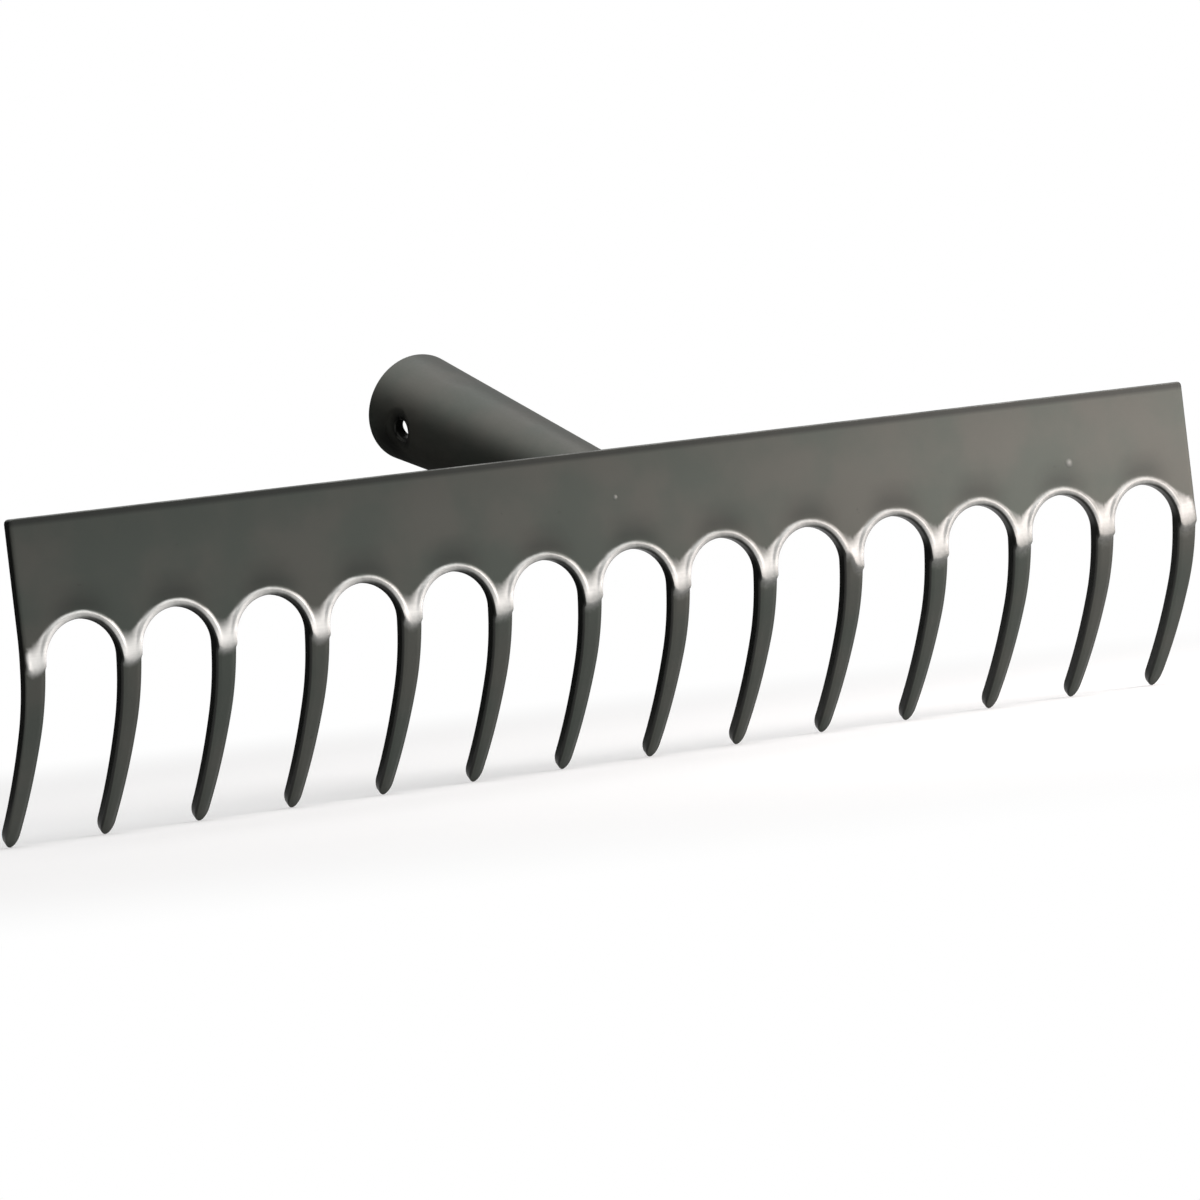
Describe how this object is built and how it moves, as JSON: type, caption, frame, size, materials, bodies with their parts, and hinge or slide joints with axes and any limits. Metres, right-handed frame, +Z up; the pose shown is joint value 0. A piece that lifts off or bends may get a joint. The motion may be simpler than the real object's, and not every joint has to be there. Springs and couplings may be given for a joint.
{
  "type": "garden rake head",
  "caption": "Steel rake head: a flat plate with a row of curved tines, and a conical socket welded to its back for a wooden handle.",
  "frame": {"origin": "bottom centre of the whole head's box, level with the tips of the tines", "axes": "+X along the plate to the right as seen from the front, +Y from the plate's front to the socket's mouth, +Z up from the tips to the plate's top edge"},
  "size_m": [0.3834, 0.115, 0.1206],
  "materials": {
    "head_lacquer": "satin dark grey lacquer, rubbed bright on the lips round the arches and on the tine roots",
    "socket_lacquer": "satin dark grey lacquer, faintly brushed along the tube",
    "weld_lacquer": "dark lacquer over rippled weld metal"
  },
  "bodies": {
    "root": {"rake_head": "head_lacquer", "handle_socket": "socket_lacquer", "weld_bead_left": "weld_lacquer", "weld_bead_right": "weld_lacquer"}
  },
  "joints": []
}
